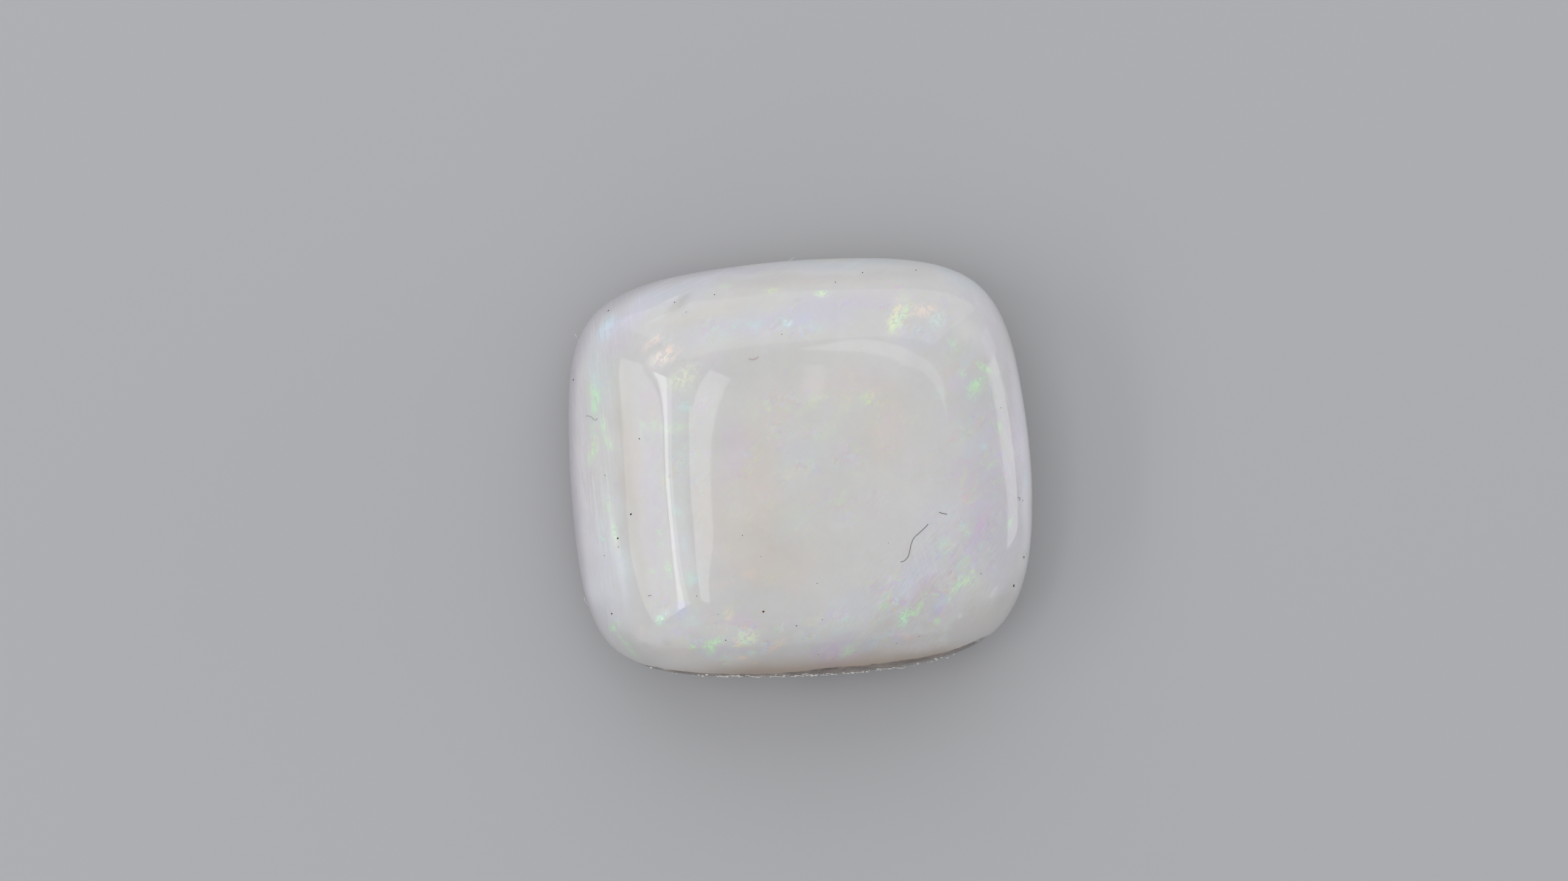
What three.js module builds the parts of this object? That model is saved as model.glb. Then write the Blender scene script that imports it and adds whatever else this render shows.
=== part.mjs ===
import * as THREE from 'three';

// A polished cabochon of milky precious opal, cut from one stone as an uneven cushion:
// a small flat base, a rounded girdle, a wide sloping flank on the left that ends in a soft ridge,
// steeper flanks on the other three sides, and a low crown.
// Millimetres, +Z up. +X is the right side and +Y the back, as the stone is seen from above.
// The origin is on the flat base, under the middle of the stone.

// Driving sizes
const stoneWidth = 12.0;
const stoneDepth = 10.85;
const stoneHeight = 4.2;

// The outline from above is a smooth closed curve drawn towards these points: one at each corner,
// and two along each side, which bow a little.
const outlinePoints = [
  [6.10, -1.15], [5.75, 1.95],    // right side
  [5.00, 5.40],
  [0.85, 5.45], [-1.65, 5.25],    // back
  [-5.90, 4.50],
  [-6.05, 1.20], [-5.85, -2.15],  // left side
  [-5.20, -5.40],
  [-0.95, -5.45], [1.65, -5.35],  // front
  [5.60, -4.70],
];

// The stone as contour lines, from the edge of the base to the crown. Each has its height, how far
// it has drawn in from the girdle on the four sides, and how much of the cushion shape it keeps
// on its way to a plain ellipse.
const contours = [
  { height: 0.00, left: 0.62, right: 0.50, front: 0.55, back: 0.55, cushion: 1.00 },
  { height: 0.20, left: 0.32, right: 0.25, front: 0.28, back: 0.28, cushion: 1.00 },
  { height: 0.60, left: 0.08, right: 0.05, front: 0.06, back: 0.06, cushion: 1.00 },
  { height: 1.10, left: 0.00, right: 0.00, front: 0.00, back: 0.00, cushion: 1.00 },
  { height: 1.60, left: 0.06, right: 0.01, front: 0.04, back: 0.04, cushion: 1.00 },
  { height: 2.10, left: 0.30, right: 0.05, front: 0.16, back: 0.18, cushion: 1.00 },
  { height: 2.55, left: 0.72, right: 0.18, front: 0.36, back: 0.42, cushion: 1.00 },
  { height: 2.95, left: 1.32, right: 0.58, front: 0.64, back: 0.76, cushion: 1.00 },
  { height: 3.32, left: 2.02, right: 1.14, front: 1.00, back: 1.20, cushion: 1.00 },
  { height: 3.62, left: 2.60, right: 1.70, front: 1.38, back: 1.66, cushion: 1.00 },
  { height: 3.74, left: 2.90, right: 1.98, front: 1.60, back: 1.92, cushion: 1.00 },
  { height: 3.84, left: 3.24, right: 2.30, front: 1.86, back: 2.22, cushion: 0.98 },
  { height: 3.96, left: 3.84, right: 2.84, front: 2.36, back: 2.74, cushion: 0.92 },
  { height: 4.07, left: 4.60, right: 3.56, front: 3.10, back: 3.44, cushion: 0.80 },
  { height: 4.15, left: 5.38, right: 4.34, front: 4.02, back: 4.26, cushion: 0.62 },
  { height: 4.20, left: 6.25, right: 5.20, front: 5.10, back: 5.15, cushion: 0.45 },
];

// Fineness of the facets
const stepsPerOutlinePoint = 8;
const ringsPerContour = 1.6;

// Look of the stone
const milkyOpal = { color: 0xc5c2c0, roughness: 0.06, metalness: 0.0 };

// The shares of four neighbours in a smooth curve, for a place from 0 to 1 between the middle two
function splineShares(place) {
  const rest = 1 - place;
  return [
    rest ** 3 / 6,
    (3 * place ** 3 - 6 * place ** 2 + 4) / 6,
    (3 * rest ** 3 - 6 * rest ** 2 + 4) / 6,
    place ** 3 / 6,
  ];
}

// The whole outline, in a box from -1 to 1 both ways
function outlineRing() {
  const count = outlinePoints.length;
  const ring = [];
  for (let i = 0; i < count * stepsPerOutlinePoint; i += 1) {
    const start = Math.floor(i / stepsPerOutlinePoint);
    const point = new THREE.Vector2();
    splineShares(i / stepsPerOutlinePoint - start).forEach((share, k) => {
      const pull = new THREE.Vector2(...outlinePoints[(start - 1 + k + count) % count]);
      point.addScaledVector(pull, share);
    });
    ring.push(point);
  }
  const box = new THREE.Box2().setFromPoints(ring);
  const middle = box.getCenter(new THREE.Vector2());
  const half = box.getSize(new THREE.Vector2()).multiplyScalar(0.5);
  return ring.map((point) => point.sub(middle).divide(half));
}

// The contour at any level, with 0 for the edge of the base and 1 for the crown
function contourAt(level) {
  const last = contours.length - 1;
  const start = Math.min(Math.floor(level * last), last - 1);
  const shares = splineShares(level * last - start);
  const result = {};
  for (const key of Object.keys(contours[0])) {
    // past either end the curve goes straight on, so it starts and stops on its end contours
    const value = (index) => {
      if (index < 0) return 2 * contours[0][key] - contours[1][key];
      if (index > last) return 2 * contours[last][key] - contours[last - 1][key];
      return contours[index][key];
    };
    result[key] = 0;
    shares.forEach((share, k) => {
      result[key] += share * value(start - 1 + k);
    });
  }
  return result;
}

// One ring of the stone's surface, before it is drawn out to the driving sizes
function stoneRing(outline, level) {
  const contour = contourAt(level);
  const west = -stoneWidth / 2 + contour.left;
  const east = stoneWidth / 2 - contour.right;
  const south = -stoneDepth / 2 + contour.front;
  const north = stoneDepth / 2 - contour.back;
  return outline.map((corner) => {
    const point = corner.clone().normalize().lerp(corner, contour.cushion);
    return new THREE.Vector3(
      (west + east + point.x * (east - west)) / 2,
      (south + north + point.y * (north - south)) / 2,
      contour.height,
    );
  });
}

// Rings joined by pairs of triangles, closed by a fan on the flat base and one on the crown
function buildStone() {
  const outline = outlineRing();
  const pointsAround = outline.length;
  const ringCount = Math.round((contours.length - 1) * ringsPerContour) + 1;
  const rings = [];
  for (let i = 0; i < ringCount; i += 1) rings.push(stoneRing(outline, i / (ringCount - 1)));

  const box = new THREE.Box3().setFromPoints(rings.flat());
  const size = box.getSize(new THREE.Vector3());
  const middle = box.getCenter(new THREE.Vector3()).setZ(0);
  const fit = new THREE.Vector3(stoneWidth, stoneDepth, stoneHeight).divide(size);
  const crown = new THREE.Box3().setFromPoints(rings[ringCount - 1]).getCenter(new THREE.Vector3());
  const points = [...rings.flat(), middle, crown].map((point) => point.clone().sub(middle).multiply(fit));
  const baseMiddle = ringCount * pointsAround;
  const crownMiddle = baseMiddle + 1;

  const triangles = [];
  const topRing = (ringCount - 1) * pointsAround;
  for (let i = 0; i < pointsAround; i += 1) {
    const next = (i + 1) % pointsAround;
    for (let row = 0; row < topRing; row += pointsAround) {
      const above = row + pointsAround;
      triangles.push(row + i, row + next, above + next);
      triangles.push(row + i, above + next, above + i);
    }
    triangles.push(baseMiddle, next, i);
    triangles.push(crownMiddle, topRing + i, topRing + next);
  }

  const geometry = new THREE.BufferGeometry();
  const positions = points.flatMap((point) => point.toArray());
  geometry.setAttribute('position', new THREE.Float32BufferAttribute(positions, 3));
  geometry.setIndex(triangles);
  geometry.computeVertexNormals();
  return geometry;
}

function buildOpal() {
  const stone = new THREE.Mesh(buildStone(), new THREE.MeshStandardMaterial(milkyOpal));
  stone.name = 'opal_stone';
  const opal = new THREE.Group();
  opal.add(stone);
  return opal;
}

export default buildOpal();
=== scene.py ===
import math
import random

import bmesh
import bpy
import numpy as np
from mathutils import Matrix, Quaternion, Vector
from mathutils.bvhtree import BVHTree


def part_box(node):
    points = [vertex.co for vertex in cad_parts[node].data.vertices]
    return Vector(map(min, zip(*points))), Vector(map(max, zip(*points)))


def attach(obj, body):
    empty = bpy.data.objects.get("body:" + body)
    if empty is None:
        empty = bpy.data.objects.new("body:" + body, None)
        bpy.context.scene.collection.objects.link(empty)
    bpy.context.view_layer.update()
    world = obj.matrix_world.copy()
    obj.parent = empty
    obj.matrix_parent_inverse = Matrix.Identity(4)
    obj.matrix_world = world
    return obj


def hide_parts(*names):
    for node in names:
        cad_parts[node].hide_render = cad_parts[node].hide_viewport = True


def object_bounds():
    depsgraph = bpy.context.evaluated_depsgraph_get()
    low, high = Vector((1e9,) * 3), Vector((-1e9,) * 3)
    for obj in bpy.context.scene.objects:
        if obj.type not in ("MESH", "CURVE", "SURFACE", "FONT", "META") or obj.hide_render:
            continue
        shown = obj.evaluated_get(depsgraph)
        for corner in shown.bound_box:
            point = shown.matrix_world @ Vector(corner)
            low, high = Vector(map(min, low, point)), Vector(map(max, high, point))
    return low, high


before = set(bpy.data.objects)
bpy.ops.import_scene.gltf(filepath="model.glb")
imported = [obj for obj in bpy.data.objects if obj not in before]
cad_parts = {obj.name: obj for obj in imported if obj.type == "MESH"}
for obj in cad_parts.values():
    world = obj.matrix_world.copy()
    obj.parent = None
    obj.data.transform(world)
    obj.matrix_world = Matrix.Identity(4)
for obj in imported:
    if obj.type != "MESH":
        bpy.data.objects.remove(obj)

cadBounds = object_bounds()
mm = 0.001
stoneLow, stoneHigh = (np.array(corner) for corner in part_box("opal_stone"))
stoneSize = stoneHigh - stoneLow
print("frame loaded")


# The camera looks straight down on the stone
photoFrame = {
    "widthPx": 2576,
    "heightPx": 1448,
    "stoneLeftPx": 934,
    "stoneRightPx": 1695,
    "stoneTopPx": 422,
    "stoneBottomPx": 1114,
    "lensMm": 100.0,
    "sensorMm": 36.0,
    "girdleMm": 1.1,  # the height where the stone is widest
}

pxSize = stoneSize[0] / (photoFrame["stoneRightPx"] - photoFrame["stoneLeftPx"])
stonePxX = (photoFrame["stoneLeftPx"] + photoFrame["stoneRightPx"]) / 2
stonePxY = (photoFrame["stoneTopPx"] + photoFrame["stoneBottomPx"]) / 2
girdleZ = photoFrame["girdleMm"] * mm
cameraDistance = photoFrame["widthPx"] * pxSize * photoFrame["lensMm"] / photoFrame["sensorMm"]
cameraPlace = Vector((
    (photoFrame["widthPx"] / 2 - stonePxX) * pxSize,
    (stonePxY - photoFrame["heightPx"] / 2) * pxSize,
    girdleZ + cameraDistance,
))


def addObject(name, data):
    thing = bpy.data.objects.new(name, data)
    bpy.context.collection.objects.link(thing)
    return thing


def addMesh(name, points, faces):
    mesh = bpy.data.meshes.new(name)
    mesh.from_pydata(points, [], faces)
    mesh.shade_smooth()
    return addObject(name, mesh)


def addCamera():
    data = bpy.data.cameras.new("camera")
    data.lens = photoFrame["lensMm"]
    data.sensor_width = photoFrame["sensorMm"]
    data.clip_start = 1 * mm
    data.clip_end = 10
    camera = addObject("camera", data)
    camera.location = cameraPlace
    bpy.context.scene.camera = camera


addCamera()
print("camera set")


# The stone's shape, in millimetres. The outline is a smooth closed curve drawn towards its points,
# and each contour is (height, left, right, front, back, cushion).
stoneShape = {
    "stepsPerPoint": 34,
    "rows": 190,
    "outline": [
        (6.10, -1.15), (5.75, 1.95), (5.00, 5.40), (0.85, 5.45), (-1.65, 5.25), (-5.90, 4.50),
        (-6.05, 1.20), (-5.85, -2.15), (-5.20, -5.40), (-0.95, -5.45), (1.65, -5.35), (5.60, -4.70),
    ],
    "contours": [
        (0.00, 0.62, 0.50, 0.55, 0.55, 1.00),
        (0.20, 0.32, 0.25, 0.28, 0.28, 1.00),
        (0.60, 0.08, 0.05, 0.06, 0.06, 1.00),
        (1.10, 0.00, 0.00, 0.00, 0.00, 1.00),
        (1.60, 0.06, 0.01, 0.04, 0.04, 1.00),
        (2.10, 0.30, 0.05, 0.16, 0.18, 1.00),
        (2.55, 0.72, 0.18, 0.36, 0.42, 1.00),
        (2.95, 1.32, 0.58, 0.64, 0.76, 1.00),
        (3.32, 2.02, 1.14, 1.00, 1.20, 1.00),
        (3.62, 2.60, 1.70, 1.38, 1.66, 1.00),
        (3.74, 2.90, 1.98, 1.60, 1.92, 1.00),
        (3.84, 3.24, 2.30, 1.86, 2.22, 0.98),
        (3.96, 3.84, 2.84, 2.36, 2.74, 0.92),
        (4.07, 4.60, 3.56, 3.10, 3.44, 0.80),
        (4.15, 5.38, 4.34, 4.02, 4.26, 0.62),
        (4.20, 6.25, 5.20, 5.10, 5.15, 0.45),
    ],
    "domeFrom": (1.6, 2.6),
    "uneven": {"height": 0.004, "size": 2.4, "seed": 3},  # slow rise and fall that polishing leaves
    "dimple": {"place": (-3.12, 4.27, 0.34, 0.13, 48), "soft": 0.9, "depth": 0.03},
}


def smoothStep(low, high, value):
    t = np.clip((value - low) / (high - low), 0, 1)
    return t * t * (3 - 2 * t)


def splineShares(place):
    rest = 1 - place
    return [
        rest**3 / 6,
        (3 * place**3 - 6 * place**2 + 4) / 6,
        (3 * rest**3 - 6 * rest**2 + 4) / 6,
        place**3 / 6,
    ]


def outlineRing():
    pulls = np.array(stoneShape["outline"])
    steps = stoneShape["stepsPerPoint"]
    ring = []
    for i in range(len(pulls) * steps):
        start = i // steps
        shares = splineShares(i / steps - start)
        ring.append(sum(share * pulls[(start - 1 + k) % len(pulls)] for k, share in enumerate(shares)))
    ring = np.array(ring)
    low, high = ring.min(axis=0), ring.max(axis=0)
    return (ring - (low + high) / 2) / ((high - low) / 2)


def contourAt(level):
    rows = np.array(stoneShape["contours"])
    rows = np.vstack([2 * rows[0] - rows[1], rows, 2 * rows[-1] - rows[-2]])
    last = len(rows) - 3
    start = min(int(level * last), last - 1)
    shares = splineShares(level * last - start)
    return sum(share * rows[start + k] for k, share in enumerate(shares))


def stoneRing(outline, level):
    height, left, right, front, back, cushion = contourAt(level)
    halfWidth, halfDepth = stoneSize[0] / mm / 2, stoneSize[1] / mm / 2
    west, east, south, north = left - halfWidth, halfWidth - right, front - halfDepth, halfDepth - back
    ellipse = outline / np.hypot(outline[:, 0], outline[:, 1])[:, None]
    ring = ellipse + (outline - ellipse) * cushion
    x = (west + east + ring[:, 0] * (east - west)) / 2
    y = (south + north + ring[:, 1] * (north - south)) / 2
    return np.stack([x, y, np.full_like(x, height)], axis=1)


def stonePoints():
    rows = stoneShape["rows"]
    outline = outlineRing()
    rings = [stoneRing(outline, i / (rows - 1)) for i in range(rows)]
    base = np.array([[0, 0, 0]])
    crown = (rings[-1].min(axis=0) + rings[-1].max(axis=0)) / 2
    points = np.vstack(rings + [base, crown[None, :]])
    low, high = points.min(axis=0), points.max(axis=0)
    points[:, :2] -= (low[:2] + high[:2]) / 2
    points *= stoneSize / mm / (high - low)
    return points


def stoneFaces():
    around = len(stoneShape["outline"]) * stoneShape["stepsPerPoint"]
    rows = stoneShape["rows"]
    faces = []
    for row in range(rows - 1):
        for i in range(around):
            j = (i + 1) % around
            here, above = row * around, (row + 1) * around
            faces.append((here + i, here + j, above + j, above + i))
    baseMiddle, crownMiddle = rows * around, rows * around + 1
    top = (rows - 1) * around
    for i in range(around):
        j = (i + 1) % around
        faces.append((baseMiddle, j, i))
        faces.append((crownMiddle, top + i, top + j))
    return faces


# Places on the stone, in millimetres, as they are seen from above at the girdle's scale
def asSeen(points):
    drop = cameraPlace.z / mm - points[:, 2]
    scale = cameraDistance / mm / drop
    eye = np.array(cameraPlace[:2]) / mm
    return eye + (points[:, :2] - eye) * scale[:, None]


def softEllipse(seen, x, y, long, wide, lean, soft):
    c, s = math.cos(math.radians(lean)), math.sin(math.radians(lean))
    dx, dy = seen[:, 0] - x, seen[:, 1] - y
    away = np.hypot((dx * c + dy * s) / long, (dy * c - dx * s) / wide)
    return 1 - smoothStep(1 - soft, 1 + soft, away)


def slowWaves(points, seed, size, count=7):
    chance = random.Random(seed)
    total = np.zeros(len(points))
    for _ in range(count):
        way = Vector((chance.gauss(0, 1), chance.gauss(0, 1), chance.gauss(0, 1))).normalized()
        turn = 2 * math.pi / (size * chance.uniform(0.7, 1.5))
        total += np.sin(points @ np.array(way) * turn + chance.uniform(0, 6.3))
    return total / 3.0


def buildStone():
    points = stonePoints()
    dome = smoothStep(*stoneShape["domeFrom"], points[:, 2])
    uneven, dimple = stoneShape["uneven"], stoneShape["dimple"]
    points[:, 2] += uneven["height"] * dome * (slowWaves(points, uneven["seed"], uneven["size"]) - 1)
    dent = softEllipse(asSeen(points), *dimple["place"], dimple["soft"])
    points[:, 2] -= dimple["depth"] * dent * dome

    stone = addMesh("opal_cabochon", (points * mm).tolist(), stoneFaces())
    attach(stone, "root")
    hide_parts("opal_stone")
    return stone, points


stone, stonePointsMm = buildStone()
print("stone built")


# Colours inside the stone. Each hue has what a full flash does to the body colour under it, and its places.
# A place is (x, y, half length, half width, lean, strength), in hundredths of a millimetre from the stone's
# middle, in degrees and in per cent.
flashes = {
    "green": ((0.95, 1.32, 0.91), [
        (-534, 164, 27, 9, 95, 70), (-525, 178, 24, 6, 97, 50), (-505, 106, 24, 7, 98, 70),
        (-496, 66, 20, 9, 100, 80), (-531, 44, 13, 6, 82, 60), (-541, 20, 14, 8, 90, 70),
        (-496, -98, 20, 8, 95, 40), (-474, -161, 20, 8, 97, 60), (-510, -184, 6, 5, 0, 60),
        (-483, -416, 11, 7, 110, 100), (-447, -466, 16, 5, 125, 80), (-430, -485, 11, 4, 130, 60),
        (-465, -442, 9, 4, 115, 60), (-429, -452, 8, 5, 100, 50), (-342, -263, 13, 9, 100, 80),
        (-364, -165, 8, 6, 0, 80), (-361, -200, 9, 8, 100, 40), (-386, -271, 11, 8, 0, 40),
        (-335, -287, 9, 6, 0, 30), (-361, -394, 13, 9, 70, 60), (-231, -465, 16, 13, 80, 130),
        (-213, -447, 13, 9, 45, 90), (-278, -466, 10, 7, 105, 120), (-189, -513, 8, 5, 0, 50),
        (63, 450, 20, 5, 3, 40), (-197, 467, 13, 4, 5, 40), (-170, 364, 5, 4, 0, 90),
        (-413, 91, 6, 11, 0, 40), (-409, 115, 20, 9, -40, 35), (243, 371, 27, 6, 66, 50),
        (269, 389, 24, 6, 66, 50), (402, 320, 20, 12, -70, 45), (423, 241, 13, 10, 20, 80),
        (476, 257, 19, 8, -40, 90), (469, 221, 17, 10, 20, 60), (453, 204, 20, 16, 50, 70),
        (521, 99, 14, 9, 100, 60), (472, 9, 6, 5, 45, 40), (508, 11, 13, 8, 30, 40),
        (421, -153, 13, 10, 0, 40), (539, -149, 19, 5, 72, 70), (480, 28, 13, 4, 60, 60),
        (490, -3, 11, 4, 50, 60), (449, -58, 11, 4, 50, 50), (469, -200, 9, 5, 60, 50),
        (432, -172, 11, 5, 50, 60), (386, -342, 11, 4, 55, 60), (327, -338, 9, 5, 60, 50),
        (370, -208, 20, 16, 90, 20), (445, -267, 5, 4, 0, 60), (409, -309, 24, 9, 50, 65),
        (311, -359, 11, 6, 45, 90), (295, -377, 13, 8, 35, 110), (269, -386, 27, 11, 62, 90),
        (355, -395, 11, 6, 70, 90), (209, -365, 13, 11, 0, 35), (124, -478, 30, 9, 35, 100),
        (443, -290, 22, 14, 60, 50), (-543, 91, 16, 7, 80, 50),
    ]),
    "yellowGreen": ((1.04, 1.17, 0.92), [
        (-547, 202, 20, 9, 95, 60), (-535, 52, 22, 11, 82, 120), (-471, -403, 13, 6, 105, 60),
        (-138, -435, 24, 20, 0, 100), (-75, 460, 13, 5, 5, 50), (-81, 156, 13, 8, 100, 90),
        (-24, 154, 13, 8, -15, 60), (4, 143, 8, 8, 0, 40), (35, 166, 22, 11, 35, 50),
        (63, 182, 11, 8, 40, 40), (110, 146, 17, 13, 0, 30), (169, 174, 20, 16, 60, 90),
        (209, 164, 13, 8, 0, 80), (-301, 235, 36, 24, 35, 80), (60, 446, 16, 9, 5, 80),
        (-76, 460, 17, 6, 8, 60), (-376, 123, 11, 19, 0, 40), (-331, 103, 36, 12, 3, 70),
        (256, 389, 43, 20, 72, 55), (228, 367, 16, 9, 75, 40), (284, 406, 20, 7, 75, 50),
        (433, -294, 19, 7, 45, 50), (193, -401, 16, 13, 60, 35), (-188, -380, 17, 14, 90, 40),
        (-71, -291, 20, 16, 0, 30), (-189, -204, 14, 8, 0, 30),
    ]),
    "cyan": ((0.96, 1.15, 1.13), [
        (-512, -145, 33, 9, 92, 50), (-457, -239, 31, 8, 97, 50), (-358, -389, 20, 14, 70, 100),
        (-299, 158, 14, 13, 0, 100), (-323, 32, 20, 13, 0, 30), (-319, -113, 20, 9, -50, 70),
        (-299, -192, 20, 11, 85, 35), (-279, -287, 18, 17, 0, 80), (-276, -393, 31, 17, 30, 30),
        (-260, 269, 9, 6, 0, 40), (-33, 373, 11, 9, 20, 120), (-110, 373, 19, 12, 0, 60),
        (-165, 378, 14, 9, 0, 40), (32, 359, 16, 11, 0, 40), (303, 359, 13, 10, 0, 60),
        (354, 379, 24, 16, 50, 90), (362, 194, 16, 13, -40, 50), (449, 182, 14, 10, 0, 40),
        (504, 158, 20, 7, -5, 50), (472, 52, 11, 9, 0, 60), (512, -74, 13, 11, 0, 40),
        (437, -170, 9, 8, 50, 50), (461, -35, 13, 5, 50, 50), (425, -133, 13, 6, 60, 50),
        (268, -398, 13, 9, 50, 70), (236, -428, 13, 9, 40, 50), (110, -428, 24, 13, 0, 40),
        (-128, -482, 14, 9, 0, 100), (4, -444, 16, 10, 90, 40), (583, -35, 20, 8, 92, 50),
        (348, -381, 8, 6, 70, 50), (201, -448, 31, 9, 20, 40), (268, -381, 27, 14, 55, 50),
        (370, -200, 24, 17, 60, 40), (-535, 225, 39, 9, 92, 50), (-502, 361, 31, 17, 65, 50),
    ]),
    "blue": ((0.96, 1.00, 1.20), [
        (8, 383, 19, 14, 0, 35), (323, 328, 24, 20, 0, 35), (520, 137, 9, 8, 0, 50),
        (488, 87, 20, 14, 60, 40), (520, 32, 16, 6, 30, 50), (502, -13, 24, 13, 20, 30),
        (429, -224, 28, 10, 60, 50), (303, -287, 47, 31, 45, 30), (358, -357, 28, 11, 45, 90),
        (252, -448, 11, 9, 0, 40), (-313, -373, 22, 17, 60, 110), (-311, -432, 20, 13, -20, 50),
        (-260, -452, 11, 10, 0, 60), (-94, -468, 11, 11, 0, 60), (183, -461, 16, 11, 30, 50),
    ]),
    "violet": ((1.00, 0.91, 1.05), [
        (-378, 44, 16, 24, 0, 40), (-307, 257, 27, 6, 32, 70), (472, -145, 43, 19, 62, 60),
        (449, -188, 28, 17, 45, 60), (331, -294, 31, 8, 50, 60), (362, -369, 24, 7, 50, 60),
        (284, -342, 31, 11, 60, 50), (91, -485, 47, 22, 10, 90), (-197, -472, 25, 17, 0, 60),
        (-165, -485, 14, 11, 0, 50), (-24, -405, 20, 16, 0, 25), (-295, -255, 13, 12, 0, 40),
        (469, -161, 36, 11, 62, 50), (563, 76, 33, 11, 93, 40), (272, -433, 16, 7, 60, 40),
        (-283, -192, 20, 14, 90, 30), (173, -113, 39, 24, 0, 15),
    ]),
    "orange": ((1.24, 1.06, 0.94), [
        (183, 190, 14, 9, 60, 60), (197, 202, 11, 9, 0, 25), (-378, 324, 27, 10, 40, 60),
        (-345, 287, 31, 17, 25, 60), (-339, 302, 17, 11, 30, 30), (260, 418, 20, 9, 80, 45),
        (244, 389, 31, 8, 72, 50), (317, 406, 27, 17, 5, 70), (343, 418, 9, 8, 0, 40),
        (425, -82, 16, 11, 0, 40), (445, -102, 8, 6, 0, 50), (477, -141, 31, 9, 62, 35),
        (370, -326, 9, 4, 55, 60), (394, -323, 11, 6, 60, 50), (273, -436, 8, 9, 0, 80),
        (-207, -420, 31, 14, 0, 35), (-165, -454, 14, 8, 100, 100), (-150, -497, 9, 5, 10, 120),
        (-118, -509, 7, 4, 0, 100), (-66, -463, 24, 10, 30, 90), (-188, -382, 19, 14, 90, 60),
        (-134, -275, 20, 12, 0, 35), (-181, -302, 13, 12, 0, 30), (-220, -310, 20, 12, 0, 25),
        (394, -283, 9, 6, 60, 50), (-468, -200, 24, 6, 97, 40),
    ]),
    "white": ((1.22, 1.22, 1.21), [
        (-356, -381, 17, 13, 70, 50), (-138, -435, 24, 19, 0, 50), (-299, 237, 36, 24, 35, 50),
        (-33, 375, 9, 7, 0, 60), (60, 444, 16, 8, 5, 50), (-378, 324, 27, 9, 40, 50),
        (-345, 285, 31, 17, 25, 60), (256, 389, 39, 20, 72, 40), (317, 405, 27, 17, 5, 40),
        (354, 379, 22, 14, 50, 30), (417, -385, 6, 5, 60, 70), (500, -323, 16, 7, 60, 60),
        (370, -449, 16, 11, 60, 35), (356, -448, 6, 5, 0, 30), (-378, 280, 31, 14, 15, 35),
        (-476, -157, 47, 7, 97, 30), (-559, -35, 157, 6, 93, 25), (547, 44, 47, 4, 104, 20),
        (-502, 361, 31, 17, 65, 40), (-110, -137, 55, 16, -35, 12), (24, 91, 71, 13, 15, 12),
    ]),
}

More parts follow.
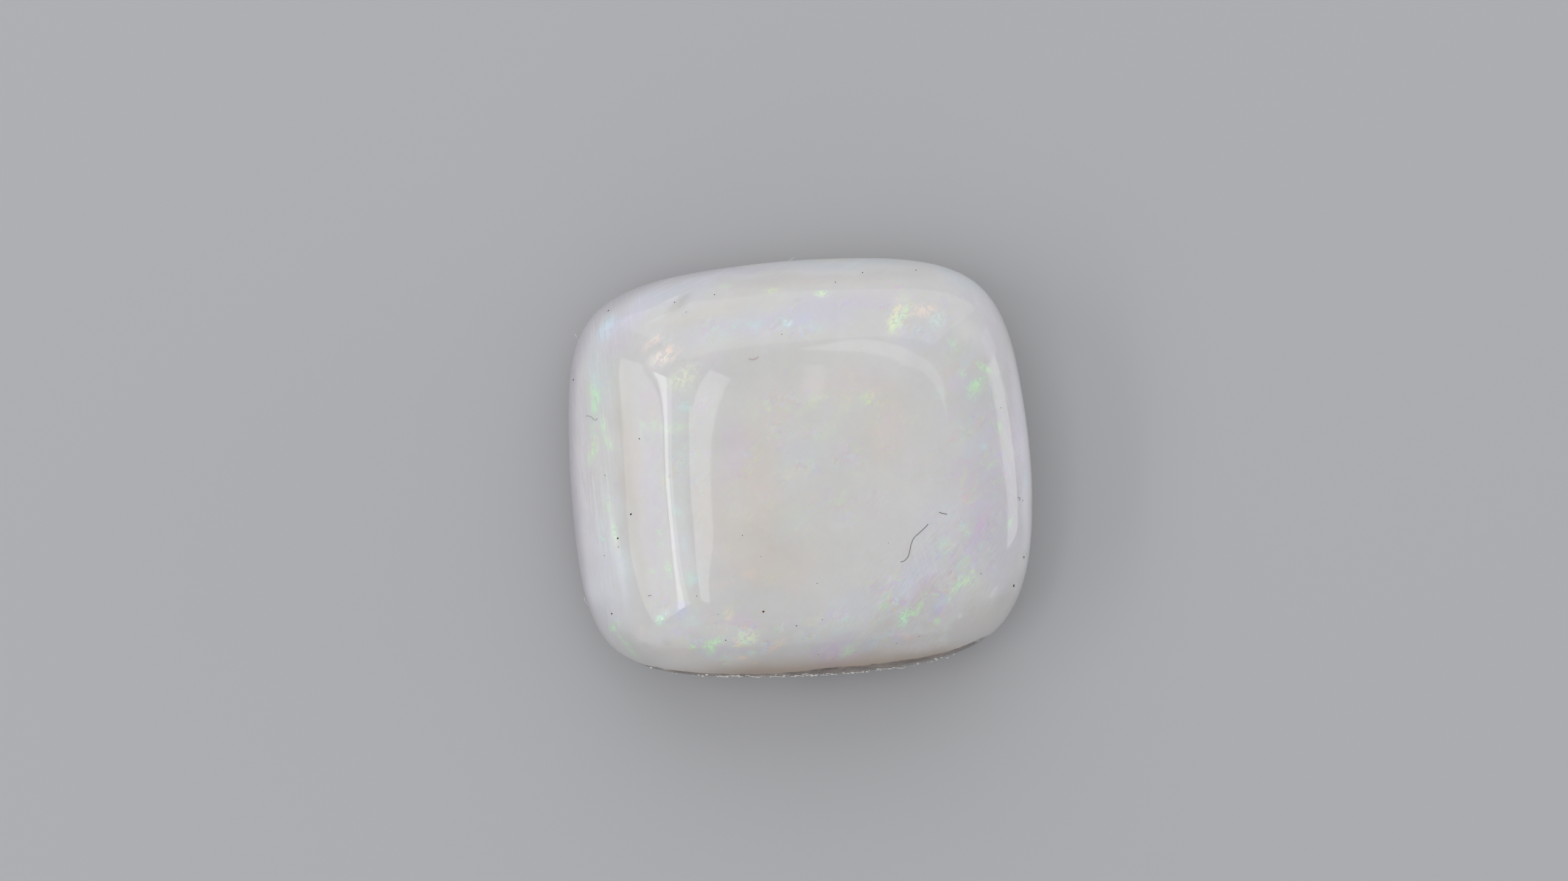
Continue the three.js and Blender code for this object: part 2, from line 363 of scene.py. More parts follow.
# Soft regions of the body, given in the same way. The shade regions are mostly painted shade; two milky
# places are painted highlight.
bodyRegions = {
    "violet": ((0.995, 0.965, 1.030), [
        (-571, 5, 378, 31, 93, 60), (-165, 507, 118, 13, 12, 80), (197, 438, 71, 27, 0, 90),
        (39, 410, 94, 27, 6, 50), (-390, -74, 189, 27, 94, 80), (-244, 265, 47, 31, 30, 50),
        (-172, 55, 63, 33, 85, 120), (112, 22, 47, 52, 0, 70), (276, -113, 126, 126, 0, 30),
        (484, -11, 205, 71, 92, 90), (567, 44, 173, 24, 93, 50), (95, -477, 71, 27, 6, 110),
        (-472, 359, 102, 43, 45, 90), (521, 292, 134, 31, -72, 60), (-55, 379, 205, 35, 8, 40),
        (543, -255, 94, 31, 75, 50), (142, 434, 126, 28, 3, 15),
    ]),
    "cool": ((0.985, 1.000, 1.045), [
        (-394, 418, 134, 31, 27, 100), (16, 398, 157, 39, 8, 90), (-213, 351, 94, 28, 15, 60),
        (307, 328, 71, 31, 0, 80), (6, 35, 47, 35, 0, 100), (370, -176, 110, 79, 90, 50),
        (504, -192, 118, 47, 92, 70), (291, -287, 87, 39, 45, 110), (126, -381, 71, 47, 50, 100),
        (-496, -287, 157, 39, 103, 100), (-417, 410, 150, 43, 30, 70), (-260, 477, 126, 19, 15, 80),
        (449, 465, 118, 27, -32, 80), (504, 391, 71, 39, -60, 40), (584, -3, 260, 20, 93, 90),
        (-165, 367, 165, 36, 12, 60), (55, 523, 236, 14, 3, 80), (-535, -334, 102, 31, 112, 70),
        (16, 398, 142, 35, 6, 50),
    ]),
    "ice": ((0.970, 1.025, 1.035), [
        (-500, 359, 39, 20, 70, 100), (134, 528, 197, 11, 1, 70), (409, 493, 102, 13, -30, 70),
        (-524, 249, 102, 31, 93, 80), (-465, -200, 150, 24, 98, 60), (-315, -35, 299, 24, 94, 45),
    ]),
    "leaf": ((0.980, 1.035, 1.000), [
        (-535, 154, 94, 24, 97, 80), (488, 217, 55, 47, 0, 50),
    ]),
    "warm": ((1.024, 0.993, 0.968), [
        (-442, 44, 118, 24, 92, 70), (-429, -113, 181, 24, 96, 60), (-468, 162, 79, 20, 93, 50),
        (-244, 398, 87, 22, 22, 70), (16, 477, 205, 14, 3, 50), (-110, -27, 134, 61, 95, 115),
        (217, 111, 91, 52, 75, 125), (55, 202, 134, 35, 5, 50), (-55, -247, 110, 55, 5, 110),
        (-134, -192, 87, 55, 90, 70), (-213, -113, 134, 43, 90, 90), (-339, -483, 55, 24, -10, 80),
        (449, -413, 118, 31, 30, 40), (-110, -192, 94, 63, 90, 40), (244, -482, 157, 20, 8, 50),
    ]),
    "khaki": ((1.001, 1.003, 0.977), [
        (-457, 154, 102, 20, 92, 90), (39, -3, 339, 315, 0, 100), (-87, 406, 260, 47, 8, 100),
        # The second place on the next line, a long narrow band on the left flank, is painted shade between
        # two reflections, in an olive tone.
        (-312, 425, 39, 10, 48, 100), (-439, -83, 290, 13, 98, 100), (520, -381, 102, 39, 40, 50),
        (-150, -499, 94, 17, 2, 60),
    ]),
    "pink": ((1.025, 0.975, 0.990), [
        (-110, -3, 87, 39, 95, 25), (-150, 91, 47, 31, 60, 50), (221, 76, 63, 39, 75, 30),
        (102, 225, 118, 28, 0, 45), (-55, 154, 47, 31, 0, 40), (-8, -279, 55, 24, 0, 20),
        (319, -330, 102, 20, 47, 90),
    ]),
    # Painted shade, mostly: darker along the bottom and top edges, at the corners, over the middle, along
    # the left flank and in the narrow band between two reflections there, and a darker crescent over the
    # dimple. The two small round places near the bottom are real grey spots.
    "shade": ((0.900, 0.900, 0.900), [
        (24, -469, 339, 24, 3, 45), (0, -468, 441, 55, 3, 50), (-346, -454, 11, 11, 0, 80),
        (-400, -460, 8, 8, 0, 60), (-339, -483, 118, 31, -12, 40), (449, -417, 134, 39, 30, 90),
        (535, -342, 55, 24, 65, 50), (299, -405, 118, 55, 22, 70), (319, -330, 102, 16, 47, 25),
        (24, 487, 268, 13, 3, 50), (16, 520, 260, 11, 3, 40), (-496, 395, 87, 24, 45, 40),
        (-476, -456, 150, 47, -46, 140), (-102, -239, 134, 102, 60, 45), (-102, 265, 142, 47, 5, 20),
        (-312, 425, 39, 10, 48, 100), (-439, -83, 290, 12, 98, 45), (-445, 44, 220, 20, 93, 35),
    ]),
    # Milky whitish tone, with painted highlight along the right edge and at the top right corner
    "milkAndHighlight": ((1.080, 1.080, 1.080), [
        (-468, -192, 150, 19, 98, 60), (-471, -231, 118, 9, 98, 90), (-358, 274, 28, 20, 20, 80),
        (-315, -74, 236, 24, 94, 60), (-307, -208, 94, 24, 94, 50), (236, -113, 142, 102, 60, 25),
        # The last place on the next line, along the right edge, and the place on the line after it, at the
        # top right corner, are painted highlight.
        (-508, -255, 134, 35, 100, 50), (-504, 28, 197, 24, 95, 30), (584, 13, 283, 20, 93, 230),
        (449, 351, 55, 27, -48, 100),
    ]),
}
bodyBase = (0.60, 0.59, 0.585)


def inMillimetres(places):
    return [(x / 100, y / 100, long / 100, wide / 100, lean, amount / 100)
            for x, y, long, wide, lean, amount in places]


# Multiplies the colours by a tint, as far as the cover goes
def tinted(colours, tint, cover):
    return colours * (1 + (np.array(tint) - 1) * cover[:, None])


# Stores a colour or an amount at each point
def addAttribute(mesh, name, values):
    kind, field = "FLOAT", "value"
    if values.ndim == 2:
        kind, field = "FLOAT_COLOR", "color"
        values = np.hstack([values, np.ones((len(values), 1))])
    attribute = mesh.attributes.new(name, kind, "POINT")
    attribute.data.foreach_set(field, np.ascontiguousarray(values, dtype=np.float32).ravel())


# Strips along the edge, seen from above: a brown stain with a dark natural skin below it at the front,
# and a band of painted shade at the left and back edge. Each has its width in millimetres at places around
# the edge, in degrees from the right side, and the share of the width that is fully covered.
edgeStrips = {
    "stain": {"solid": 0.0, "turn": (220, 238, 258, 275, 292, 304, 320),
              "wide": (0.15, 0.5, 0.8, 0.85, 0.85, 0.6, 0.3)},
    "skin": {"solid": 0.5, "turn": (222, 232, 244, 262, 275, 286, 296, 308, 322),
             "wide": (0.03, 0.07, 0.09, 0.09, 0.18, 0.21, 0.19, 0.15, 0.06)},
    # Painted shade: the band along the left and back edge
    "edgeShade": {"solid": 0.0, "turn": (92, 115, 141, 165, 200, 232),
             "wide": (0.0, 0.18, 0.44, 0.28, 0.26, 0.1)},
}
edgeLook = {
    "stainTint": (0.60, 0.47, 0.36),
    "edgeShadeTint": (0.78, 0.765, 0.81),
    "stainFade": 1.6,
    "stainDrop": (0.2, 1.1),  # how far below the widest line the stain fades out, in millimetres
    "skinDrop": 6.0,  # how far the skin goes down the wall for its width seen from above
    "skinFade": (0.2, 1.0),  # the share of that way where it fades out
    "skinWaves": ((21, 1.6, 0.35), (22, 0.6, 0.15)),  # seed, size and share
}


def edgeCover(points, seen, near=0.03):
    girdle = seen[np.abs(points[:, 2] - photoFrame["girdleMm"]) < near]
    away = np.array([np.min(np.hypot(girdle[:, 0] - x, girdle[:, 1] - y)) for x, y in seen])
    below = np.maximum(photoFrame["girdleMm"] - points[:, 2], 0)
    away[below > 0] = 0
    waves = 1
    for seed, size, share in edgeLook["skinWaves"]:
        waves = waves + share * slowWaves(points, seed, size)
    turn = np.degrees(np.arctan2(seen[:, 1], seen[:, 0])) % 360
    covers = {}
    for name, strip in edgeStrips.items():
        wide = np.interp(turn, strip["turn"], strip["wide"], 0, 0)
        ends = smoothStep(strip["turn"][0], strip["turn"][2], turn)
        ends *= smoothStep(strip["turn"][-1], strip["turn"][-2], turn)
        covers[name] = ends * (1 - smoothStep(strip["solid"], 1.0, away / (wide + 1e-6)))
        if name == "skin":
            reach = edgeLook["skinDrop"] * wide * waves + 1e-6
            covers[name] *= 1 - smoothStep(*edgeLook["skinFade"], below / reach)
    left = 1 - smoothStep(*edgeLook["stainDrop"], below)
    covers["stain"] = covers["stain"] ** edgeLook["stainFade"] * left
    return covers


# Where the polishing lines show, given like the places above
brushed = [
    (-390, 425, 240, 55, 27, 100), (-40, 515, 220, 25, 4, 50), (-520, -20, 340, 45, 95, 80),
    (545, 20, 220, 30, 99, 100), (500, 430, 120, 40, -50, 50), (300, -300, 160, 90, 45, 35),
]

# Where the body has small patches of colour
firePlaces = [
    (-360, 20, 300, 55, 94, 16), (-270, 20, 300, 50, 94, 13), (-260, 310, 140, 60, 20, 14),
    (40, 390, 190, 50, 5, 17), (290, 390, 110, 70, -10, 20), (450, 220, 130, 80, 110, 16),
    (470, 0, 190, 90, 95, 19), (430, -200, 160, 90, 80, 20), (320, -310, 170, 100, 42, 29),
    (100, -430, 180, 80, 8, 20), (-180, -440, 160, 70, 5, 24), (-300, -340, 80, 100, 60, 13),
    (-510, 50, 340, 35, 94, 11), (-450, -320, 160, 50, 110, 11), (30, 20, 260, 220, 0, 14),
    (-500, 350, 80, 40, 60, 7),
]


# How the places are painted: the share of each that is soft, and how far its edge strays, in millimetres
paint = {
    "waves": ((11, 1.3), (12, 1.3)),  # seed and size, sideways and upwards
    "bodyFrom": (0.6, 1.5),  # the heights on the wall where the colours set in
    "bodySoft": 0.7,
    "bodyStray": 0.16,
    "narrowStray": 0.4,  # a narrow place strays by this share of its width
    "flashSoft": 0.8,
    "flashStray": 0.04,
    "fireLeast": 0.03,
    "brushFrom": (1.1, 2.0),
    "brushSoft": 0.8,
    "grainLeast": 0.05,
    "grainGain": 0.30,
    "grainPlace": (3.2, -3.2, 2.6, 1.3, 45),
    "flankFrom": (-4.4, -5.0),
    "flankGrain": 0.6,
}


def strongest(seen, places, soft, least=0.0):
    cover = np.full(len(seen), least)
    for *place, amount in inMillimetres(places):
        cover = np.maximum(cover, amount * softEllipse(seen, *place, soft))
    return cover


def paintInside(stone, points):
    seen = asSeen(points)
    wander = np.stack([slowWaves(points, *wave) for wave in paint["waves"]], axis=1)
    upper = smoothStep(*paint["bodyFrom"], points[:, 2])
    edges = edgeCover(points, seen)

    # The body colour, which also takes painted shade and painted highlight from some regions and from the
    # edge band
    body = np.tile(np.array(bodyBase), (len(points), 1))
    for tint, places in bodyRegions.values():
        for x, y, long, wide, lean, amount in inMillimetres(places):
            stray = min(paint["bodyStray"], paint["narrowStray"] * wide) * wander
            cover = amount * softEllipse(seen + stray, x, y, long, wide, lean, paint["bodySoft"]) * upper
            body = tinted(body, tint, cover)
    # Painted shade along the left and back edge, in a violet grey
    body = tinted(body, edgeLook["edgeShadeTint"], edges["edgeShade"])
    body = tinted(body, edgeLook["stainTint"], edges["stain"])

    flash = np.ones((len(points), 3))
    for tint, places in flashes.values():
        for *place, strength in inMillimetres(places):
            ellipse = softEllipse(seen + paint["flashStray"] * wander, *place, paint["flashSoft"])
            flash = tinted(flash, tint, strength * ellipse * upper)

    strayed = seen + paint["bodyStray"] * wander
    fire = strongest(strayed, firePlaces, paint["bodySoft"], paint["fireLeast"])
    brush = strongest(seen, brushed, paint["brushSoft"])
    lowerRight = softEllipse(seen, *paint["grainPlace"], paint["bodySoft"])
    flank = paint["flankGrain"] * smoothStep(*paint["flankFrom"], seen[:, 0])
    grain = paint["grainLeast"] + paint["grainGain"] * np.maximum(lowerRight, flank)

    mesh = stone.data
    addAttribute(mesh, "bodyTintShadeAndHighlight", body)
    addAttribute(mesh, "flashTint", flash)
    addAttribute(mesh, "fireAmount", fire)
    addAttribute(mesh, "grainAmount", grain)
    addAttribute(mesh, "skinAmount", edges["skin"])
    addAttribute(mesh, "brushAmount", brush * smoothStep(*paint["brushFrom"], points[:, 2]))


paintInside(stone, stonePointsMm)
print("colours placed")


# Node helpers
def newMaterial(name):
    material = bpy.data.materials.new(name)
    material.use_nodes = True
    return material, material.node_tree


# Links another node's output to a socket, or sets the socket's own value
def feed(tree, socket, value):
    if isinstance(value, bpy.types.NodeSocket):
        tree.links.new(value, socket)
    else:
        socket.default_value = value


# Values without a name go to the node's first inputs
def addNode(tree, kind, *values, **settings):
    node = tree.nodes.new(kind)
    for key, value in settings.items():
        if key in node.inputs:
            feed(tree, node.inputs[key], value)
        else:
            setattr(node, key, value)
    for socket, value in zip(node.inputs, values):
        feed(tree, socket, value)
    return node


def finishShader(tree, settings):
    shader = tree.nodes["Principled BSDF"]
    for name, value in settings.items():
        feed(tree, shader.inputs[name], value)


# A node group. Each input has its first value: four numbers for a colour, and one for an amount.
def newGroup(name, takes, gives=(("Color", "NodeSocketColor"),)):
    tree = bpy.data.node_groups.new(name, "ShaderNodeTree")
    for socketName, value in takes.items():
        kind = "NodeSocketColor" if isinstance(value, tuple) else "NodeSocketFloat"
        socket = tree.interface.new_socket(socketName, in_out="INPUT", socket_type=kind)
        socket.default_value = value
    for socketName, kind in gives:
        tree.interface.new_socket(socketName, in_out="OUTPUT", socket_type=kind)
    return tree, tree.nodes.new("NodeGroupInput").outputs, tree.nodes.new("NodeGroupOutput").inputs


def useGroup(tree, group, **links):
    return addNode(tree, "ShaderNodeGroup", node_tree=group, **links).outputs


def readAttribute(tree, name, output="Fac"):
    return addNode(tree, "ShaderNodeAttribute", attribute_name=name).outputs[output]


def mixColours(tree, factor, first, second, blend="MIX"):
    node = addNode(tree, "ShaderNodeMix", data_type="RGBA", blend_type=blend)
    for place, value in zip((0, 6, 7), (factor, first, second)):
        feed(tree, node.inputs[place], value)
    return node.outputs[2]


def mixAmounts(tree, factor, first, second):
    node = addNode(tree, "ShaderNodeMix", data_type="FLOAT")
    for place, value in zip((0, 2, 3), (factor, first, second)):
        feed(tree, node.inputs[place], value)
    return node.outputs[0]


def maths(tree, operation, *values):
    return addNode(tree, "ShaderNodeMath", *values, operation=operation).outputs[0]


def vectorMaths(tree, operation, *values):
    return addNode(tree, "ShaderNodeVectorMath", *values, operation=operation).outputs[0]


def scaled(tree, colour, amount):
    return addNode(tree, "ShaderNodeVectorMath", colour, operation="SCALE", Scale=amount).outputs[0]


# Places on the object in millimetres. A pattern is drawn out along the direction that turn gives, in
# degrees from the stone's width.
def placeMm(tree, turn=0.0, drawnOut=(1, 1, 1)):
    place = addNode(tree, "ShaderNodeTexCoord").outputs["Object"]
    drawn = [length * mm for length in drawnOut]
    return addNode(tree, "ShaderNodeMapping", vector_type="TEXTURE", Vector=place, Scale=drawn,
                   Rotation=(0, 0, math.radians(turn))).outputs["Vector"]


def noise(tree, place, scale, detail=3.0, roughness=0.55, output="Fac"):
    return addNode(tree, "ShaderNodeTexNoise", Vector=place, Scale=scale, Detail=detail,
                   Roughness=roughness).outputs[output]


def stretchRange(tree, value, low, high, toLow=0.0, toHigh=1.0):
    return addNode(tree, "ShaderNodeMapRange", value, low, high, toLow, toHigh,
                   interpolation_type="SMOOTHSTEP").outputs["Result"]


# Places for a flaky pattern, with wavy borders
def bentPlace(tree, turn, drawnOut, waves, strength):
    bend = noise(tree, placeMm(tree), waves, roughness=0.65, output="Color")
    return vectorMaths(tree, "MULTIPLY_ADD", bend, strength, placeMm(tree, turn, drawnOut))


# Patterns inside the stone: turns are in degrees from its width, and three lengths say how far a pattern is
# drawn out along its turn, across it and upwards. Edges are places along the width, in millimetres.
patterns = {
    "leftEdge": (-3.6, -4.6),
    "rightEdge": (2.0, 3.0),
    "flakes": ((55, (1.5, 0.85, 1)), (97, (2.6, 0.75, 2.6))),  # on the dome and on the left flank
    "flakeBend": (9.0, (0.16, 0.16, 0.16)),  # size and strength of its waves
    "flakeTorn": 0.9,  # how ragged the flakes are
    "flakeLimits": (0.79, 0.94),
    "fire": (48, (1.5, 0.85, 1.2)),
    "fireBend": (5.0, (0.30, 0.40, 0.30)),
    "fireColour": (0.55, 0.80, 0.95),  # how much red, green and blue swing
    "grain": ((50, (0.30, 0.045, 0.3)), (95, (0.60, 0.040, 0.6))),
    "lineTurns": (27, 106, 96),  # dome, right side and left flank
    "line": (2.2, 0.055, 2.2),
    "lineLimits": (0.50, 0.68),
    "lineHeight": 0.001,  # in millimetres
    "skinMottle": (0.45, 0.90),
    "skinBite": (-0.40, 0.60),
}


# Goes from 0 to 1 between two places along the stone's width
def acrossWidth(tree, start, end):
    place = addNode(tree, "ShaderNodeTexCoord").outputs["Object"]
    split = addNode(tree, "ShaderNodeSeparateXYZ", place)
    return stretchRange(tree, split.outputs["X"], start * mm, end * mm)


def onLeftFlank(tree):
    return acrossWidth(tree, *patterns["leftEdge"])


greyColour = (0.6, 0.6, 0.6, 1)


# Colour flashes break up into small flakes, drawn out upright on the left flank and slanting elsewhere
def makeFlashGroup():
    takes = {"Body": greyColour, "Flash": (1, 1, 1, 1), "Flakes": 9.0, "Solid": 0.3}
    tree, inside, outside = newGroup("colourFlash", takes)
    levels = []
    for turn, drawnOut in patterns["flakes"]:
        place = bentPlace(tree, turn, drawnOut, *patterns["flakeBend"])
        cells = addNode(tree, "ShaderNodeTexVoronoi", feature="F1", distance="MANHATTAN", Vector=place,
                        Scale=inside["Flakes"])
        levels.append(addNode(tree, "ShaderNodeSeparateColor", cells.outputs["Color"]).outputs[0])
    both = mixAmounts(tree, onLeftFlank(tree), *levels)
    torn = noise(tree, placeMm(tree), scale=14.0, roughness=0.7)
    ragged = maths(tree, "MULTIPLY_ADD", torn, patterns["flakeTorn"], both)
    broken = stretchRange(tree, ragged, *patterns["flakeLimits"])
    amount = mixAmounts(tree, broken, inside["Solid"], 1.0)
    feed(tree, outside["Color"], mixColours(tree, amount, inside["Body"], inside["Flash"], "MULTIPLY"))
    return tree


# Faint patches of colour that fill the whole body like a mosaic: (size, share, limits, spread)
pinfirePatches = [("Large", 0.6, (0.44, 0.62), 0.9), ("Small", 1.1, (0.48, 0.64), 2.0)]


def makePinfireGroup():
    takes = {"Color": greyColour, "Amount": 0.1, "Large": 2.6, "Small": 8.0}
    tree, inside, outside = newGroup("pinfire", takes)
    bent = bentPlace(tree, *patterns["fire"], *patterns["fireBend"])
    colour = inside["Color"]
    for size, share, limits, spread in pinfirePatches:
        cells = addNode(tree, "ShaderNodeTexVoronoi", feature="SMOOTH_F1", Smoothness=0.2, Vector=bent,
                        Scale=inside[size])
        patchy = stretchRange(tree, noise(tree, placeMm(tree), spread, detail=2.0), *limits)
        amount = maths(tree, "MULTIPLY", maths(tree, "MULTIPLY", patchy, inside["Amount"]), share)
        level = vectorMaths(tree, "SUBTRACT", cells.outputs["Color"], (0.5, 0.5, 0.5))
        balance = vectorMaths(tree, "MULTIPLY", level, patterns["fireColour"])
        lifted = vectorMaths(tree, "ADD", scaled(tree, balance, amount), (1, 1, 1))
        colour = mixColours(tree, 1.0, colour, lifted, "MULTIPLY")
    feed(tree, outside["Color"], colour)
    return tree


# Fine grain of light and dark streaks, slanting on the dome and upright on the left flank
def makeGrainGroup():
    tree, inside, outside = newGroup("streakyGrain", {"Color": greyColour, "Amount": 0.1})
    streaks = [noise(tree, placeMm(tree, *drawn), scale=1.0, detail=4.0, roughness=0.6)
               for drawn in patterns["grain"]]
    both = mixAmounts(tree, onLeftFlank(tree), *streaks)
    patchy = stretchRange(tree, noise(tree, placeMm(tree), scale=1.6), 0.35, 0.65, toLow=0.3)
    swing = maths(tree, "MULTIPLY", maths(tree, "SUBTRACT", both, 0.5), patchy)
    lift = maths(tree, "MULTIPLY_ADD", swing, inside["Amount"], 1.0)
    feed(tree, outside["Color"], scaled(tree, inside["Color"], lift))
    return tree


# Milky clouds all through the body
def makeMilkGroup():
    tree, inside, outside = newGroup("milkyBody", {"Color": greyColour, "Cloud": 0.05})
    place = placeMm(tree)
    small, large = noise(tree, place, scale=6.0), noise(tree, place, scale=0.9, detail=4.0)
    both = maths(tree, "MULTIPLY_ADD", small, 0.3, large)
    swing = maths(tree, "SUBTRACT", both, 0.65)
    lift = maths(tree, "MULTIPLY_ADD", swing, inside["Cloud"], 1.0)
    feed(tree, outside["Color"], scaled(tree, inside["Color"], lift))
    return tree


# The natural skin is thin and mottled where it runs out
def makeSkinGroup():
    takes = {"Color": greyColour, "Skin": (0.3, 0.2, 0.2, 1), "Amount": 0.0}
    tree, inside, outside = newGroup("naturalSkin", takes)
    mottle = noise(tree, placeMm(tree), scale=1.6, detail=6.0, roughness=0.7)
    fine = noise(tree, placeMm(tree, drawnOut=(0.5, 0.1, 0.08)), scale=1.0)
    both = stretchRange(tree, maths(tree, "MULTIPLY_ADD", fine, 0.35, mottle), *patterns["skinMottle"])
    bitten = maths(tree, "SUBTRACT", maths(tree, "MULTIPLY", inside["Amount"], 1.6), both)
    mask = stretchRange(tree, bitten, *patterns["skinBite"])
    shaded = scaled(tree, inside["Skin"], maths(tree, "MULTIPLY_ADD", both, 1.3, 0.5))
    cover = maths(tree, "MULTIPLY", mask, stretchRange(tree, inside["Amount"], 0.0, 0.25))
    feed(tree, outside["Color"], mixColours(tree, cover, inside["Color"], shaded))
    return tree


# Fine polishing lines: slanting over the dome, nearly upright on the right and on the left flank
def makeBrushGroup():
    gives = (("Mark", "NodeSocketFloat"), ("Normal", "NodeSocketVector"))
    tree, inside, outside = newGroup("polishingLines", {"Amount": 0.5, "Depth": 1.0}, gives)
    dome, right, flank = (noise(tree, placeMm(tree, turn, patterns["line"]), scale=1.0, roughness=0.65)
                          for turn in patterns["lineTurns"])
    lines = mixAmounts(tree, acrossWidth(tree, *patterns["rightEdge"]), dome, right)
    lines = mixAmounts(tree, onLeftFlank(tree), lines, flank)
    sharp = stretchRange(tree, lines, *patterns["lineLimits"])
    patchy = stretchRange(tree, noise(tree, placeMm(tree), scale=1.4, detail=2.0), 0.25, 0.60)
    mark = maths(tree, "MULTIPLY", maths(tree, "MULTIPLY", sharp, patchy), inside["Amount"])
    height = maths(tree, "MULTIPLY", mark, inside["Depth"])
    bump = addNode(tree, "ShaderNodeBump", Distance=patterns["lineHeight"] * mm, Height=height)
    feed(tree, outside["Mark"], mark)
    feed(tree, outside["Normal"], bump.outputs["Normal"])
    return tree


flashGroup = makeFlashGroup()
pinfireGroup = makePinfireGroup()
grainGroup = makeGrainGroup()
milkGroup = makeMilkGroup()
brushGroup = makeBrushGroup()
skinGroup = makeSkinGroup()

stoneFinish = {
    "polish": 0.05,
    "ground": 0.5,
    "refraction": 1.45,
    "milkDepthMm": (0.6, 0.5, 0.4),
    "milkWeight": 0.3,
    "cloud": 0.14,
    "flakesPerMm": 12.0,
    "flashLeast": 0.25,
    "patchesPerMm": (2.6, 9.0),
    "skin": (0.15, 0.118, 0.096, 1),
    "brushWhite": (0.78, 0.78, 0.80, 1),
    "brushShare": 0.38,
    "groundShare": 0.35,
    "groundBelowMm": 0.02,
}


# The stone's colour before any finish, with the painted shade and painted highlight of the body, shared by
# the polished dome and the ground base
def opalColour(tree):
    milky = useGroup(tree, milkGroup, Color=readAttribute(tree, "bodyTintShadeAndHighlight", "Color"),
                     Cloud=stoneFinish["cloud"])
    large, small = stoneFinish["patchesPerMm"]
    fiery = useGroup(tree, pinfireGroup, Color=milky["Color"], Large=large, Small=small,
                     Amount=readAttribute(tree, "fireAmount"))
    flashed = useGroup(tree, flashGroup, Body=fiery["Color"], Flakes=stoneFinish["flakesPerMm"],
                       Solid=stoneFinish["flashLeast"], Flash=readAttribute(tree, "flashTint", "Color"))
    return useGroup(tree, grainGroup, Color=flashed["Color"],
                    Amount=readAttribute(tree, "grainAmount"))["Color"]


def makePolishedOpal():
    material, tree = newMaterial("polishedOpal")
    lines = useGroup(tree, brushGroup, Amount=readAttribute(tree, "brushAmount"), Depth=1.0)
    brushMix = maths(tree, "MULTIPLY", lines["Mark"], stoneFinish["brushShare"])
    lined = mixColours(tree, brushMix, opalColour(tree), stoneFinish["brushWhite"])
    skinned = useGroup(tree, skinGroup, Color=lined, Skin=stoneFinish["skin"],
                       Amount=readAttribute(tree, "skinAmount"))
    finishShader(tree, {
        "Base Color": skinned["Color"],
        "Normal": lines["Normal"],
        "Roughness": stoneFinish["polish"],
        "IOR": stoneFinish["refraction"],
        "Subsurface Weight": stoneFinish["milkWeight"],
        "Subsurface Radius": stoneFinish["milkDepthMm"],
        "Subsurface Scale": mm,
    })
    return material


def makeGroundOpal():
    material, tree = newMaterial("groundOpal")
    dull = mixColours(tree, stoneFinish["groundShare"], opalColour(tree), stoneFinish["brushWhite"])
    finishShader(tree, {
        "Base Color": dull,
        "Roughness": stoneFinish["ground"],
        "IOR": stoneFinish["refraction"],
    })
    return material


def finishStone():
    stone.data.materials.append(makePolishedOpal())
    stone.data.materials.append(makeGroundOpal())
    groundBelow = stoneFinish["groundBelowMm"] * mm
    for face in stone.data.polygons:
        face.material_index = 1 if face.center.z < groundBelow else 0


finishStone()
print("stone finished")


# Lint and dust lie where the photo shows them, found by looking down from the camera
stoneTree = BVHTree.FromPolygons([tuple(place) for place in stonePointsMm * mm], stoneFaces())
cadLow, cadHigh = (Vector(corner) for corner in cadBounds)
pastEdgeZ = 1.5 * mm  # the height of dirt that the photo shows just past the edge


def onStone(x, y, lift):
    way = (Vector((x * mm, y * mm, girdleZ)) - cameraPlace).normalized()
    place, normal, _, _ = stoneTree.ray_cast(cameraPlace, way)
    if place is None:
        place, normal = Vector((x * mm, y * mm, pastEdgeZ)), Vector((0, 0, 1))
    return place + normal * lift * mm, normal


def insideBox(place, margin=0.002 * mm):
    for axis in range(3):
        place[axis] = min(max(place[axis], cadLow[axis] + margin), cadHigh[axis] - margin)
    return place


# A smooth line through the given places
def smoothPath(places, steps=8):
    ends = [places[0] * 2 - places[1]] + places + [places[-1] * 2 - places[-2]]
    path = []
    for i in range(1, len(ends) - 2):
        before, here, after, beyond = ends[i - 1:i + 3]
        for step in range(steps):
            t = step / steps
            path.append(0.5 * (2 * here + (after - before) * t
                               + (2 * before - 5 * here + 4 * after - beyond) * t**2
                               + (3 * here - before - 3 * after + beyond) * t**3))
    return path + [places[-1]]


def addTube(points, faces, path, radius, sides=6, tip=0.35):
    start = len(points)
    for i, place in enumerate(path):
        along = (path[min(i + 1, len(path) - 1)] - path[max(i - 1, 0)]).normalized()
        across = along.orthogonal().normalized()
        up = along.cross(across)
        taper = radius * min(1, tip + (1 - tip) * min(i, len(path) - 1 - i))
        for side in range(sides):
            turn = 2 * math.pi * side / sides
            points.append(place + (across * math.cos(turn) + up * math.sin(turn)) * taper)
    for i in range(len(path) - 1):
        for side in range(sides):
            a, b = start + i * sides + side, start + i * sides + (side + 1) % sides
            faces.append((a, b, b + sides, a + sides))
    last = start + (len(path) - 1) * sides
    faces.append(tuple(range(start + sides - 1, start - 1, -1)))
    faces.append(tuple(range(last, last + sides)))


